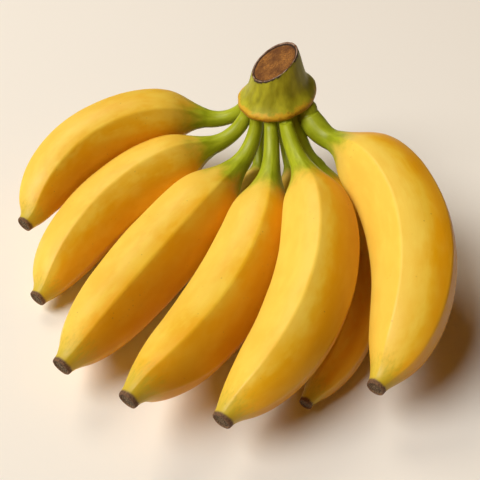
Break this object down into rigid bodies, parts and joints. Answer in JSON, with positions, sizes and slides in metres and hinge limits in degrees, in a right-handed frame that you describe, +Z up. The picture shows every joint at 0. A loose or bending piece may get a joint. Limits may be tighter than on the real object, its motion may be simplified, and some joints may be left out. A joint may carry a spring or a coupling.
{
  "type": "bunch of bananas",
  "caption": "Bunch of ripe curved bananas joined by green stalks to one cut stem crown, lying fanned out on its bellies.",
  "frame": {"origin": "centre of the underside of the bounding box, on the surface that the bunch lies on", "axes": "+Z up, -Y towards the tips of the middle bananas, +Y towards the crown, +X to the right seen from the tips"},
  "size_m": [0.2072, 0.2012, 0.0896],
  "materials": {
    "banana_peel": "ripe yellow banana peel, smooth and softly waxy, green at the neck and brown at the blossom scar",
    "green_stem": "green fibrous stem with a dry brown cut face and an orange-brown collar edge"
  },
  "bodies": {
    "root": {"crown": "green_stem", "banana_1": "banana_peel", "banana_2": "banana_peel", "banana_3": "banana_peel", "banana_4": "banana_peel", "banana_5": "banana_peel", "banana_6": "banana_peel", "banana_7": "banana_peel", "banana_8": "banana_peel", "banana_9": "banana_peel"}
  },
  "joints": []
}
